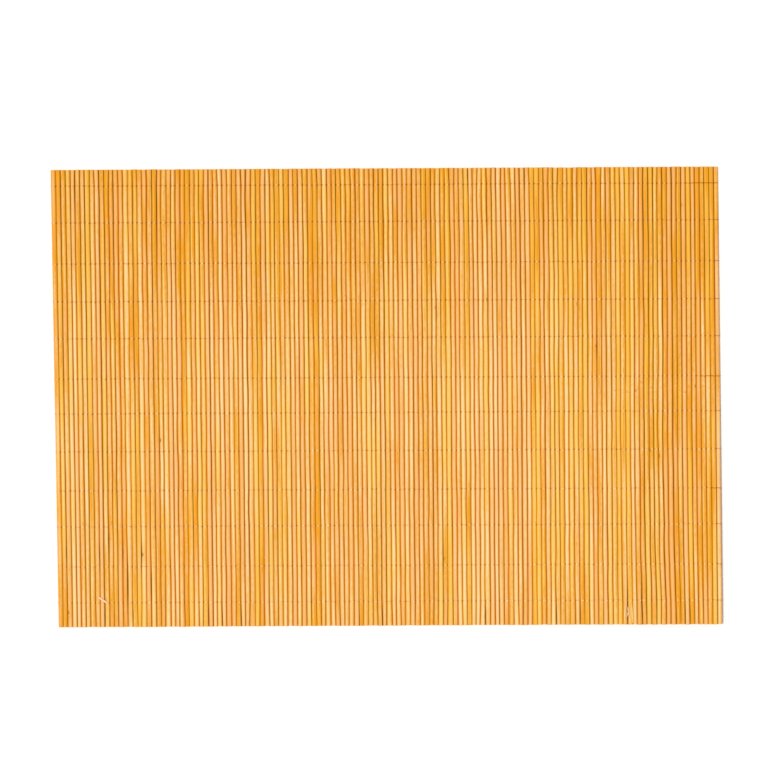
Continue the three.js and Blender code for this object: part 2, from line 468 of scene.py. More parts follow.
class SlatSheet:
    """Every slat's place and size at every station along it, as arrays of slats by stations. The ties
    are the near cut, the places where the rows tie the slats, and the far cut."""

    def __init__(self):
        self.settings = bpy.context.scene.placemat_slats
        self.rng = np.random.default_rng(self.settings.seed)
        self.mat = outline()
        self.ties = np.r_[self.mat["near"], self.mat["rows"][::-1], self.mat["far"]]
        self.y = self.stations()
        self.line_y = np.concatenate([self.y, self.y[-1:]])
        self.lines, self.centre, self.half = self.places()
        self.thick = self.thicknesses()

    def stations(self):
        """Even steps between the rows, and at both free ends a half-way step, the start of the worn edge
        and each slat's own cut."""
        spans = zip(self.ties[1:-2], self.ties[2:-1])
        steps = [np.linspace(start, stop, SPANS_BETWEEN_ROWS, endpoint=False) for start, stop in spans]
        inner = np.concatenate(steps + [self.ties[-2:-1]])
        reach = SLAT_END_SPREAD / 2
        near = self.mat["near"] + np.clip(self.rng.normal(0, reach / 3, SLAT_COUNT), -reach, reach)
        far = self.mat["far"] + np.clip(self.rng.normal(0, reach / 4, SLAT_COUNT), -reach, reach)
        worn = self.settings.chamfer
        columns = [near, near + worn, (near + inner[0]) / 2]
        columns += [np.full(SLAT_COUNT, y) for y in inner]
        columns += [(far + inner[-1]) / 2, far - worn, far]
        return np.stack(columns, axis=1)

    def places(self):
        """The lines between the slats, and the middle and half the width of each slat. A line runs where
        the frame has it, with a wander of its own and the lean that neighbours share, and a gap lies
        along it that is a little wider at the open places painted with dark shade."""
        shares = line_shares()
        left_edge = np.polyval(self.mat["left"], self.line_y)
        right_edge = np.polyval(self.mat["right"], self.line_y)
        lines = left_edge + (right_edge - left_edge) * shares
        inside = np.minimum(1, EDGE_CALM * shares * (1 - shares))
        lines = lines + (self.wander() + self.leaned(lines)) * inside
        gaps = self.settings.gap * self.rng.uniform(0.5, 1.5, (SLAT_COUNT + 1, 1))
        gaps = gaps + self.settings.opening * self.opened(lines)
        gaps[[0, -1]] = 0
        left = lines[:-1] + gaps[:-1] / 2
        right = lines[1:] - gaps[1:] / 2
        return lines, (left + right) / 2, (right - left) / 2

    def between(self, y):
        """The number of the tie before each place along Y, and the share of the way to the next tie."""
        place = np.clip(np.searchsorted(self.ties, y, side="right") - 1, 0, len(self.ties) - 2)
        way = (y - self.ties[place]) / (self.ties[place + 1] - self.ties[place])
        return place, np.clip(way, 0, 1)

    def along(self, y, at_ties):
        """Values given at the ties, carried in straight lines to places along Y, with one line of values
        for each slat or gap."""
        place, way = self.between(y)
        line = np.arange(len(at_ties))[:, None]
        return at_ties[line, place] * (1 - way) + at_ties[line, place + 1] * way

    def wander(self):
        """Each line's own sideways wander: small steps at the rows, a half sine between two rows, and a
        splay at the free ends."""
        count = SLAT_COUNT + 1
        at_ties = self.rng.normal(0, self.settings.jog, (count, len(self.ties)))
        at_ties[:, 0] += self.rng.normal(0, self.settings.splay, count)
        at_ties[:, -1] += self.rng.normal(0, self.settings.splay, count)
        bows = self.rng.normal(0, self.settings.bow, (count, len(self.ties) - 1))
        bows[:, [0, -1]] = 0
        place, way = self.between(self.line_y)
        bow = bows[np.arange(count)[:, None], place] * np.sin(np.pi * way)
        return self.along(self.line_y, at_ties) + bow

    def leaned(self, lines):
        """The sideways lean that neighbours share: a shear that fades out towards the right edge, and
        for each place in the table a bell curve along both axes."""
        fade = smooth_step(SHEAR_FADE["stop"], SHEAR_FADE["start"], lines)
        shift = self.settings.shear * self.line_y / self.mat["far"] * fade
        for lean in LEANS:
            across = ((lines - lean.x) / lean.reach_x) ** 2
            along = ((self.line_y - lean.y) / lean.reach_y) ** 2
            shift += lean.shift * np.exp(-across - along)
        return shift

    def opened(self, lines):
        """How open each gap is and how dark its painted shade is, from 0 to 1: for each open place a bell
        curve along the gap that lies nearest."""
        dark = np.zeros_like(lines)
        for gap in OPEN_GAPS:
            line = nearest(lines[:, nearest(self.line_y[0], gap.y)], gap.x)
            bell = np.exp(-(((self.line_y[line] - gap.y) / gap.reach) ** 2))
            dark[line] = np.maximum(dark[line], gap.dark * bell)
        return dark

    def flanks(self):
        """How dark the painted shade on the left and the right flank of each slat is. A gap has the
        square of a draw of its own, more towards the far and the right edge, a slow change along it, and
        its open places."""
        slow = self.rng.uniform(0, 1, (SLAT_COUNT + 1, len(self.ties)))
        own = self.rng.uniform(0, 1, (SLAT_COUNT + 1, 1)) ** 2 * FLANK_SHADE["own"]
        own = own + FLANK_SHADE["far"] * smooth_step(0, 1, self.line_y / self.mat["far"])
        own = own + FLANK_SHADE["right"] * smooth_step(0.1, 0.22, self.lines)
        own = own + FLANK_SHADE["slow"] * self.along(self.line_y, slow) - FLANK_SHADE["off"]
        dark = np.clip(np.maximum(own, self.opened(self.lines)), 0, 1)
        return dark[:-1], dark[1:]

    def thicknesses(self):
        """Half of each slat's thickness, with a slow change along it."""
        thick = self.settings.thickness - self.settings.thinning * (scatter("thickness") + 0.5)
        at_ties = self.rng.normal(0, self.settings.waver, (SLAT_COUNT, len(self.ties)))
        return thick[:, None] / 2 * (1 + np.minimum(self.along(self.y, at_ties), 0))


def joint_places(rng):
    """Where the cane's joint crosses each slat, along Y, and how strongly it shows. Slats of one group
    keep near one line. The others have none, or one anywhere, and one near a cut moves off the mat."""
    at = rng.uniform(-JOINT_RANGE, JOINT_RANGE, SLAT_COUNT)
    strength = np.where(rng.random(SLAT_COUNT) < JOINT_SHARE, rng.uniform(0.25, 0.7, SLAT_COUNT), 0)
    at[np.abs(at) > JOINT_INSIDE] *= 3
    for group in CANE_GROUPS:
        members = slice(group.first, group.last + 1)
        count = group.last + 1 - group.first
        at[members] = group.y + rng.normal(0, JOINT_STRAY, count)
        strength[members] = group.strength * rng.uniform(0.35, 1.0, count)
    return at, strength


def slat_tones(sheet, points, rng):
    """How pale each point is, and how red and how glossy each slat is. Neighbours share some of their
    tone, which is deeper towards the far and the right edge and paler in the middle, and the odd slats
    have their own."""
    tone = 0.5 + TONE["own"] * rng.normal(0, 1, SLAT_COUNT)
    tone = tone + TONE["shared"] * smooth_noise(rng, 9)
    warmth = np.clip(0.5 + WARMTH_SPREAD * rng.normal(0, 1, SLAT_COUNT), 0, 1)
    tone = tone + TONE["right"] * smooth_step(0.5, 1.0, np.linspace(-1, 1, SLAT_COUNT))
    gloss = rng.random(SLAT_COUNT)
    middle = sheet.centre[:, sheet.centre.shape[1] // 2]
    for odd in ODD_SLATS:
        slat = nearest(middle, odd.x)
        tone[slat] = odd.tone
        warmth[slat] = odd.warmth
    far = smooth_step(-0.1, 1.1, points[..., 1] / sheet.mat["far"])
    off_middle = (points[..., 0] / TONE_MIDDLE["x"]) ** 2 + (points[..., 1] / TONE_MIDDLE["y"]) ** 2
    tone = np.clip(tone, 0, 1)[:, None, None] + TONE["far"] * far + TONE["middle"] * np.exp(-off_middle)
    return tone, warmth, gloss


def knot_marks(sheet):
    """Each slat's knot: where it lies along Y and its reach in millimetres, and how dark it is, or none.
    The darkness is below zero for a knot on the left flank."""
    at = np.full(SLAT_COUNT, 9000.0)
    reach = np.ones(SLAT_COUNT)
    dark = np.zeros(SLAT_COUNT)
    for knot in KNOTS:
        middles = sheet.centre[:, nearest(sheet.y[0], knot.y)]
        slat = nearest(middles, knot.x)
        at[slat] = knot.y / MM
        reach[slat] = knot.reach / MM
        dark[slat] = math.copysign(knot.dark, knot.x - middles[slat])
    return at, reach, dark


def new_piece(name, points, faces, materials):
    """A mesh object at the origin from an array of points and a list of corner rows."""
    mesh = bpy.data.meshes.new(name)
    mesh.from_pydata(points.reshape(-1, 3).tolist(), [], faces)
    mesh.update()
    for material in materials:
        mesh.materials.append(material)
    piece = bpy.data.objects.new(name, mesh)
    bpy.context.scene.collection.objects.link(piece)
    return piece


def set_values(mesh, name, *columns, domain="POINT"):
    """A named attribute of all points or corners, from one column of numbers or from three. A shorter
    column has one number for each run of neighbours, such as all the points of a slat."""
    count = len(mesh.vertices) if domain == "POINT" else len(mesh.loops)
    rows = side_by_side(*[np.repeat(np.ravel(column), count // np.size(column)) for column in columns])
    kind, field = ("FLOAT", "value") if len(columns) == 1 else ("FLOAT_VECTOR", "vector")
    layer = mesh.attributes.new(name=name, type=kind, domain=domain)
    layer.data.foreach_set(field, rows.astype(np.float32).ravel())


def set_map(mesh, name, corners):
    """A UV map with one place for each corner."""
    layer = mesh.uv_layers.new(name=name, do_init=False)
    layer.uv.foreach_set("vector", corners.astype(np.float32).ravel())


def tube_faces(tubes, rings, sides):
    """The quads between the rings of every tube, then the near and then the far end of every tube."""
    tube, ring, side = np.indices((tubes, rings - 1, sides))
    first = (tube * rings + ring) * sides
    after = (side + 1) % sides
    quads = np.stack([first + side, first + after, first + sides + after, first + sides + side], axis=-1)
    start = np.arange(tubes)[:, None] * rings * sides
    near = start + np.arange(sides)[::-1]
    far = start + (rings - 1) * sides + np.arange(sides)
    return quads.reshape(-1, 4).tolist() + near.tolist() + far.tolist()


def slat_surface(sheet, joint_at, joint_strength):
    """The points of all slats, as slats by stations by sides. The section is a rounded box, whose
    coordinates are signed powers of a circle's, with its crest a little to one side. It is scaled to
    the slat's half width and half thickness, swollen by a bell curve at the cane's joint, drawn in at
    the cut ends and turned by the slat's roll. With the points come their places across the slat, from
    -1 to 1, and how dark the painted shade on the flank on their side is."""
    settings = sheet.settings
    rng = np.random.default_rng(settings.seed + 1)
    turn = np.pi - 2 * np.pi * np.arange(SLAT_SIDES) / SLAT_SIDES
    spread = rng.uniform(-SQUARENESS_SPREAD, SQUARENESS_SPREAD, (SLAT_COUNT, 1))
    power = 2 / (settings.squareness + spread)
    across = signed_power(np.round(np.cos(turn), 9), power)
    height = signed_power(np.round(np.sin(turn), 9), power)
    across = across + rng.normal(0, CREST_SPREAD, (SLAT_COUNT, 1)) * height * (1 - across**2)
    swell = np.exp(-(((sheet.y - joint_at[:, None]) / SWELL_REACH) ** 2))
    size = 1 + swell * (settings.swell * joint_strength)[:, None]
    size[:, [0, -1]] *= CUT_SIZE
    roll = rng.normal(0, settings.roll / 2, (SLAT_COUNT, 1))
    roll = roll + sheet.along(sheet.y, rng.normal(0, settings.roll / 5, (SLAT_COUNT, len(sheet.ties))))
    roll = roll[:, :, None]
    across = across[:, None, :]
    x = across * (sheet.half * size)[:, :, None]
    z = height[:, None, :] * (sheet.thick * size)[:, :, None]
    points = np.empty(x.shape + (3,))
    points[..., 0] = sheet.centre[:, :, None] + x * np.cos(roll) - z * np.sin(roll)
    points[..., 1] = sheet.y[:, :, None]
    points[..., 2] = sheet.mat["middle"] + x * np.sin(roll) + z * np.cos(roll)
    points[..., 2] += lift(points[..., 0], points[..., 1])
    # The painted shade of each flank, taken by the side of the slat that each point lies on.
    left, right = sheet.flanks()
    dark = np.where(across < 0, left[:, :, None], right[:, :, None])
    # The edge slats' outer sides get less painted side shade, as they have no neighbour to shade them.
    across[0] = np.maximum(across[0], -OUTER_SIDE)
    across[-1] = np.minimum(across[-1], OUTER_SIDE)
    return points, np.broadcast_to(across, x.shape), dark


def slat_corners(sheet):
    """The grain coordinates and the map place of each corner. Grain is the way round the slat and the
    way along it in millimetres and the slat's own number. On the map the slats stand side by side in
    three rows of strips, with their two cuts at the strips' ends."""
    columns = SLAT_COUNT // SLAT_MAP["rows"]
    slat, station, side = np.indices((SLAT_COUNT, sheet.y.shape[1] - 1, SLAT_SIDES))[..., None]
    round_at = (side + [0, 1, 1, 0]) / SLAT_SIDES
    station_at = station + [0, 0, 1, 1]
    y = sheet.y[slat, station_at]
    way = (y - sheet.y[slat, 0]) / (sheet.y[slat, -1] - sheet.y[slat, 0])
    girth = 4 * (sheet.half + sheet.thick).mean(axis=1) * GIRTH_SHARE / MM
    grain = side_by_side(round_at * girth[slat], y / MM, slat * GRAIN_APART)
    u = slat % columns + SLAT_MAP["beside"] + (1 - 2 * SLAT_MAP["beside"]) * round_at
    v = slat // columns + SLAT_MAP["beyond"] + (1 - 2 * SLAT_MAP["beyond"]) * way
    turn = 2 * np.pi * np.arange(SLAT_SIDES) / SLAT_SIDES
    number = np.arange(SLAT_COUNT)[:, None]
    cut_round = CUT_GRAIN["middle"] + CUT_GRAIN["round"] * np.cos(turn)
    cut_grain = side_by_side(cut_round, CUT_GRAIN["along"] * np.sin(turn), number * GRAIN_APART)
    cut_u = number % columns + 0.5 + SLAT_MAP["cut_u"] * np.cos(turn)
    cut_v = number // columns + SLAT_MAP["cut_v"] * np.sin(turn)
    near = side_by_side(cut_u, cut_v + SLAT_MAP["cut"])
    far = side_by_side(cut_u[:, ::-1], cut_v[:, ::-1] + 1 - SLAT_MAP["cut"])
    places = np.concatenate([side_by_side(u, v), near, far]) / [columns, SLAT_MAP["rows"]]
    return np.concatenate([grain, cut_grain, cut_grain]), places


def thread_loop(sheet, row, rng):
    """The centre line of one row's pair, a closed loop of rings by X, Y and Z, and the sine of each
    ring's way over its slat. One strand goes right, over the even slats and under the odd ones, and the
    other comes back the opposite way. Over a slat the height is a power of a sine and X is a cosine, so
    the strand hugs the crown and drops straight down between two slats; where the two cross they stand
    side by side."""
    settings = bpy.context.scene.placemat_thread
    row_y = sheet.mat["rows"][row]
    station = nearest(sheet.y[0], row_y)
    gaps = sheet.lines[:, station].copy()
    gaps[0] -= settings.pressed / 2
    gaps[-1] += settings.pressed / 2
    steps = np.arange(SLAT_COUNT * THREAD_STEPS)
    going = steps // THREAD_STEPS
    slat = np.r_[going, SLAT_COUNT - 1 - going]
    reached = np.r_[steps / THREAD_STEPS, SLAT_COUNT - steps / THREAD_STEPS]
    strand = np.repeat([1, -1], len(steps))
    turn = np.pi * (reached - slat)
    over = np.sin(turn)
    face = np.where(slat % 2 == 0, 1, -1) * strand
    x = gaps[slat] + (gaps[slat + 1] - gaps[slat]) * (1 - np.cos(turn)) / 2
    rise = sheet.thick[slat, station] + settings.thickness / 2
    edge = np.clip(2 * np.minimum(reached, SLAT_COUNT - reached), 0, 1)
    sway = settings.spacing / 2 * strand * np.cos(np.pi * reached) * edge
    stray = np.interp(reached, np.arange(SLAT_COUNT + 1), rng.normal(0, settings.stray, SLAT_COUNT + 1))
    y = row_y + sway + stray
    z = sheet.mat["middle"] + face * rise * np.clip(over, 0, 1) ** THREAD_DIVE
    return np.stack([x, y, z + lift(x, y)], axis=1), over


def thread_surface(path, over):
    """A closed tube along a closed path, as rings by sides. Each ring is an ellipse, in the plane across
    the strand: thin where the strand is pressed between two slats, and round over them."""
    settings = bpy.context.scene.placemat_thread
    ahead = np.roll(path, -1, axis=0) - np.roll(path, 1, axis=0)
    size = np.hypot(ahead[:, 0], ahead[:, 2])
    normal = np.stack([-ahead[:, 2] / size, np.zeros(len(path)), ahead[:, 0] / size], axis=1)
    girth_thin = (settings.pressed + (settings.thickness - settings.pressed) * over) / 2
    girth_wide = settings.width / 2 * (1 + PRESSED_WIDENING * (1 - over))
    turn = 2 * np.pi * np.arange(THREAD_SIDES) / THREAD_SIDES
    out = normal[:, None, :] * (girth_thin[:, None] * np.cos(turn))[..., None]
    wide = np.array([0, 1, 0]) * (girth_wide[:, None] * np.sin(turn))[..., None]
    return path[:, None, :] + out + wide


def thread_faces(rings):
    """The quads of a closed tube whose last ring meets the first."""
    ring, side = np.indices((rings, THREAD_SIDES))
    here = ring * THREAD_SIDES
    beyond = (ring + 1) % rings * THREAD_SIDES
    after = (side + 1) % THREAD_SIDES
    quads = np.stack([here + side, beyond + side, beyond + after, here + after], axis=-1)
    return quads.reshape(-1, 4).tolist()


def thread_corners(path, number):
    """The lay coordinates and the map place of each corner. Lay is the way round the strand from 0 to 1,
    the length along it in millimetres and the row's own number. On the map the loop is cut into rows."""
    steps = np.linalg.norm(np.roll(path, -1, axis=0) - path, axis=1)
    reached = np.r_[0, np.cumsum(steps) / MM]
    ring, side = np.indices((len(path), THREAD_SIDES))[..., None]
    ring_at = ring + [0, 1, 1, 0]
    round_at = (side + [0, 0, 1, 1]) / THREAD_SIDES
    per_row = len(path) // THREAD_MAP["rows"]
    row = ring // per_row
    u = THREAD_MAP["beyond"] + (1 - 2 * THREAD_MAP["beyond"]) * (ring_at - row * per_row) / per_row
    v = (row + THREAD_MAP["beside"] + (1 - 2 * THREAD_MAP["beside"]) * round_at) / THREAD_MAP["rows"]
    return side_by_side(round_at, reached[ring_at], number), side_by_side(u, v)


def sliver_surface(starts, ends, widths):
    """Thin slivers from point to point, as slivers by rings by sides: a flat ellipse whose size is the
    square root of a sine along the sliver, so that both ends are points, on a line with a low arch."""
    way = np.linspace(0, 1, SLIVER_RINGS)
    turn = 2 * np.pi * np.arange(SLIVER_SIDES) / SLIVER_SIDES
    span = ends - starts
    path = starts[:, None] + span[:, None] * way[:, None]
    path[..., 2] += SLIVER_RISE * np.sin(np.pi * way)
    along = span / np.linalg.norm(span, axis=1)[:, None]
    across = np.cross(along, [0, 0, 1])
    up = np.cross(across, along)
    size = np.sqrt(np.maximum(np.sin(np.pi * way), SLIVER_POINT)) * widths[:, None] / 2
    wide = across[:, None, None] * (size[..., None] * np.cos(turn))[..., None]
    high = up[:, None, None] * (size[..., None] * SLIVER_FLATNESS * np.sin(turn))[..., None]
    return path[:, :, None] + wide + high


class Wire:
    """What one shader node gives to others. A sum on wires adds a math node to their tree."""

    def __init__(self, socket):
        self.socket = socket
        self.tree = socket.id_data

    def __add__(self, other):
        return maths("ADD", self, other)

    def __sub__(self, other):
        return maths("SUBTRACT", self, other)

    def __rsub__(self, other):
        return maths("SUBTRACT", other, self)

    def __mul__(self, other):
        return maths("MULTIPLY", self, other)

    def __truediv__(self, other):
        return maths("DIVIDE", self, other)

    def __abs__(self):
        return maths("ABSOLUTE", self)


def add_node(tree, kind, inputs, **settings):
    """A new shader node with its settings, and with wires, numbers or colours on its inputs."""
    node = tree.nodes.new(kind)
    for name, value in settings.items():
        setattr(node, name, value)
    for key, value in inputs.items():
        if isinstance(value, Wire):
            tree.links.new(value.socket, node.inputs[key])
        elif node.inputs[key].type == "RGBA":
            node.inputs[key].default_value = (*value, 1.0)
        else:
            node.inputs[key].default_value = value
    return node


def result(tree, kind, inputs, output=0, **settings):
    """The wire from one output of a new shader node."""
    return Wire(add_node(tree, kind, inputs, **settings).outputs[output])


def tree_of(values):
    """The tree that the wires among some values are in."""
    return next(value.tree for value in values if isinstance(value, Wire))


def maths(operation, *values):
    """The result of one math node."""
    return result(tree_of(values), "ShaderNodeMath", dict(enumerate(values)), operation=operation)


def ranged(value, low, high, start=0.0, stop=1.0, steps="SMOOTHSTEP"):
    """A value carried from one range to another and held at its ends."""
    inputs = {"Value": value, "From Min": low, "From Max": high, "To Min": start, "To Max": stop}
    return result(value.tree, "ShaderNodeMapRange", inputs, interpolation_type=steps)


def mixed(factor, first, second):
    """Two colours mixed by a factor."""
    return result(factor.tree, "ShaderNodeMix", {0: factor, 6: first, 7: second}, 2, data_type="RGBA")


def parts(vector):
    """The three numbers of a vector."""
    return [Wire(part) for part in add_node(vector.tree, "ShaderNodeSeparateXYZ", {0: vector}).outputs]


def stretched(vector, across, along, apart):
    """A vector scaled differently on its three axes."""
    inputs = {0: vector, 1: (across, along, apart)}
    return result(vector.tree, "ShaderNodeVectorMath", inputs, operation="MULTIPLY")


def noise(vector, detail=2.0, roughness=0.5):
    """Noise from 0 to 1 at a vector."""
    inputs = {"Vector": vector, "Scale": 1.0, "Detail": detail, "Roughness": roughness}
    return result(vector.tree, "ShaderNodeTexNoise", inputs, "Fac")


def new_group(name, inputs, outputs):
    """An empty shader node group with named number outputs, and with inputs whose defaults are numbers,
    or None for a vector. Returns it with a wire from each input."""
    group = bpy.data.node_groups.new(name, "ShaderNodeTree")
    for socket, value in inputs.items():
        kind = "NodeSocketVector" if value is None else "NodeSocketFloat"
        made = group.interface.new_socket(name=socket, in_out="INPUT", socket_type=kind)
        if value is not None:
            made.default_value = value
    for socket in outputs:
        group.interface.new_socket(name=socket, in_out="OUTPUT", socket_type="NodeSocketFloat")
    given = group.nodes.new("NodeGroupInput")
    return group, *[Wire(given.outputs[socket]) for socket in inputs]


def use_group(name, maker, **inputs):
    """The wires from a node that uses a group, by name. The group's maker is called for its first use."""
    group = bpy.data.node_groups.get(name) or maker(name)
    named = {key.replace("_", " ").title(): value for key, value in inputs.items()}
    node = add_node(tree_of(inputs.values()), "ShaderNodeGroup", named, node_tree=group)
    return {output.name: Wire(output) for output in node.outputs}


def fibre_group(name):
    """Bamboo's grain: fine streaks along the slat, short dark vessels, a slow drift along it, a slow
    change across it, and short blotches."""
    group, grain, pitch, share_of_vessels = new_group(
        name,
        {"Grain": None, "Streak Pitch": 5.0, "Vessel Share": 0.5},
        ["Streaks", "Vessels", "Drift", "Halves", "Blotches", "Height"],
    )
    round_at, along, slat = parts(grain)
    pitched = result(group, "ShaderNodeCombineXYZ", {0: round_at * pitch, 1: along, 2: slat})
    streaks = noise(stretched(pitched, 1.0, 0.045, 3.1), 3.0, 0.62)
    coarse = noise(stretched(pitched, 0.28, 0.018, 5.7), 1.0)
    both = streaks * 0.6 + coarse * 0.4
    specks = noise(stretched(pitched, 1.9, 0.33, 7.3), 1.0)
    edge = 0.84 - share_of_vessels * 0.28
    vessels = ranged(specks, edge, edge + 0.07)
    results = {
        "Streaks": both,
        "Vessels": vessels,
        "Drift": noise(stretched(grain, 0.16, 0.021, 11.0)),
        "Halves": noise(stretched(grain, 0.55, 0.011, 13.0), 1.0),
        "Blotches": noise(stretched(grain, 0.9, 0.32, 17.0), 3.0, 0.6),
        "Height": both - vessels * 0.35,
    }
    add_node(group, "NodeGroupOutput", results)
    return group


def band_group(name):
    """A soft band across a slat at a place along it, whose edge wanders: its core, its wide halo."""
    group, grain, place, reach, wander = new_group(
        name, {"Grain": None, "Place": 0.0, "Reach": 1.0, "Wander": 0.5}, ["Core", "Halo"]
    )
    stray = noise(stretched(grain, 1.1, 0.3, 2.3)) - 0.5
    away = abs(parts(grain)[1] - (stray * wander + place)) / reach
    results = {"Core": ranged(away, 0.15, 1.0, 1.0, 0.0), "Halo": ranged(away, 0.4, 6.0, 1.0, 0.0)}
    add_node(group, "NodeGroupOutput", results)
    return group


def ply_group(name):
    """A twisted strand's look: slanting ridges, one for each ply, with fuzz."""
    group, lay, twist, plies = new_group(
        name, {"Lay": None, "Twist": 0.9, "Plies": 2.0}, ["Ridge", "Fuzz"]
    )
    round_at, along = parts(lay)[:2]
    phase = (round_at + along / twist) * plies * (2 * math.pi)
    ridge = maths("COSINE", phase) * 0.5 + 0.5
    fuzz = noise(stretched(lay, 9.0, 6.0, 3.0), 3.0, 0.65)
    add_node(group, "NodeGroupOutput", {"Ridge": ridge, "Fuzz": fuzz})
    return group


def new_material(name):
    """An empty material."""
    material = bpy.data.materials.new(name)
    material.use_nodes = True
    material.node_tree.nodes.clear()
    return material


def attribute(material, name, output="Vector"):
    """What a named attribute of the piece gives to a material."""
    return result(material.node_tree, "ShaderNodeAttribute", {}, output, attribute_name=name)


def object_place(material):
    """The place on the object, in metres."""
    return result(material.node_tree, "ShaderNodeTexCoord", {}, "Object")


def bumped(height, strength, distance):
    """A normal bent by a height."""
    inputs = {"Height": height, "Strength": strength, "Distance": distance}
    return result(height.tree, "ShaderNodeBump", inputs)


def surfaced(material, inputs):
    """The material, finished with one Principled surface and what is on its inputs."""
    surface = result(material.node_tree, "ShaderNodeBsdfPrincipled", inputs)
    add_node(material.node_tree, "ShaderNodeOutputMaterial", {"Surface": surface})
    return material


def bamboo_material():
    """Split bamboo: a pale to deep honey tone for each slat that drifts along it, a pinker or yellower
    tint, fine fibres and dark vessels, a joint's line, halo and flecks, knots with their stain, and
    painted shade on the sides: a deeper orange for the shade and warm bounced light between the slats,
    darkest down in the gaps."""
    palette = bpy.context.scene.placemat_colours
    material = new_material("split_bamboo")
    grain = attribute(material, "grain")
    tone, warmth, gloss = parts(attribute(material, "slat_tone"))
    joint_at, joint_strength = parts(attribute(material, "cane_joint"))[:2]
    knot_at, knot_reach, knot_dark = parts(attribute(material, "knot"))
    place = attribute(material, "side", "Fac")
    side = abs(place)
    fibre = use_group("Bamboo Fibre", fibre_group, grain=grain, streak_pitch=5.0, vessel_share=0.55)
    for name, amount in GRAIN_TONE.items():
        tone = (fibre[name] - 0.5) * amount + tone
    honey = mixed(ranged(tone, 0.0, 1.0, steps="LINEAR"), palette.deep, palette.pale)
    tint = (fibre["Drift"] - fibre["Halves"]) * GRAIN_TINT + warmth
    honey = mixed(ranged(tint, 0.6, 1.0, 0.0, 0.6, steps="LINEAR"), honey, palette.rosy)
    honey = mixed(ranged(tint, 0.4, 0.0, 0.0, 0.6, steps="LINEAR"), honey, palette.golden)
    ring = use_group("Slat Band", band_group, grain=grain, place=joint_at, reach=1.3, wander=3.0)
    line = ring["Core"] * joint_strength
    smudge = line * ranged(fibre["Blotches"], 0.4, 0.65, 0.1, 0.8)
    honey = mixed(smudge, honey, palette.joint)
    flecks = ranged(noise(stretched(grain, 1.3, 1.0, 3.7)), 0.5, 0.66)
    honey = mixed(flecks * (ring["Halo"] * joint_strength * 0.55), honey, palette.fleck)
    spot = use_group("Slat Band", band_group, grain=grain, place=knot_at, reach=knot_reach, wander=1.0)
    flank_side = place * maths("SIGN", knot_dark)
    bruise = spot["Core"] * abs(knot_dark) * ranged(flank_side, 0.05, 0.6)
    honey = mixed(spot["Halo"] * abs(knot_dark) * 0.35, honey, palette.deep)
    honey = mixed(bruise, honey, palette.knot)
    honey = mixed(fibre["Vessels"] * 0.32, honey, palette.side)
    # Painted shade: each slat's sides turn a deeper orange towards the gaps, standing in for the shade
    # and the warm light bounced between neighbouring slats.
    down = ranged(side, 0.26, 1.0)
    side_shade_colour = mixed(ranged(tint, 0.9, 0.1, 0.0, 0.75), palette.side, palette.golden_side_shade)
    honey = mixed(down * 0.97, honey, side_shade_colour)
    # Painted shade down in the gaps: the flank's darkness mixes the slat's lower sides towards a dark
    # brown.
    deepest = ranged(side, 0.62, 0.97) * attribute(material, "flank", "Fac")
    height = line * 0.5 + fibre["Height"]
    return surfaced(material, {
        "Base Color": mixed(deepest, honey, palette.gap_shade),
        "Roughness": fibre["Streaks"] * 0.22 + 0.36 - gloss * 0.08 + down * 0.4,
        "Specular IOR Level": 0.08,
        "Normal": bumped(height, 0.55, 0.05 * MM),
    })


def cut_end_material():
    """A slat's cut end: paler raw bamboo with the dark dots of its fibre bundles and saw marks."""
    palette = bpy.context.scene.placemat_colours
    material = new_material("cut_bamboo_end")
    grain = attribute(material, "grain")
    cells = {"Vector": stretched(grain, 3.4, 3.4, 9.0), "Scale": 1.0}
    away = result(material.node_tree, "ShaderNodeTexVoronoi", cells, "Distance")
    dots = ranged(away, 0.12, 0.32, 1.0, 0.0)
    saw = noise(stretched(grain, 0.8, 7.0, 4.0))
    raw = mixed(ranged(saw, 0.35, 0.65), palette.end, palette.deep)
    return surfaced(material, {
        "Base Color": mixed(dots * 0.55, raw, palette.knot),
        "Roughness": ranged(saw, 0.3, 0.7, 0.62, 0.8),
        "Normal": bumped(saw - dots * 0.6, 0.6, 0.06 * MM),
    })


def thread_material():
    """Plied golden cotton: slanting ridges with painted shade in the grooves, fuzz that breaks up its
    colour, painted highlight spots, and painted shade where the strand dives between two slats."""
    palette = bpy.context.scene.placemat_colours
    twist = bpy.context.scene.placemat_thread.twist / MM
    material = new_material("plied_thread")
    lay = attribute(material, "lay")
    ply = use_group("Thread Ply", ply_group, lay=lay, twist=twist, plies=2.0)
    # The strand's colour over a slat: painted shade in the grooves between the plies, the fuzz, and
    # below, painted highlight spots.
    worn = mixed(ranged(ply["Ridge"], 0.05, 0.75), palette.thread_groove_shade, palette.thread)
    worn = mixed(ranged(ply["Fuzz"], 0.3, 0.8, 0.0, 0.4), worn, palette.pale)
    # Painted highlight: random near-white spots along the strand, which show where it lies over a slat.
    highlight_spots = noise(stretched(lay, 0.2, 0.8, 5.0), 1.0)
    worn = mixed(ranged(highlight_spots, 0.49, 0.58), worn, palette.thread_highlight)
    # Painted shade where the strand dives: below its crown the thread turns to the deep dive colour, also
    # where stained and more in the far rows.
    up = ranged(attribute(material, "crown", "Fac"), 0.71, 0.96)
    return surfaced(material, {
        "Base Color": mixed(up, palette.thread_dive_shade_and_stain, worn),
        "Roughness": ranged(ply["Fuzz"], 0.2, 0.8, 0.75, 0.95),
        "Specular IOR Level": 0.05,
        "Normal": bumped(ply["Fuzz"] * 0.35 + ply["Ridge"], 0.8, 0.07 * MM),
    })


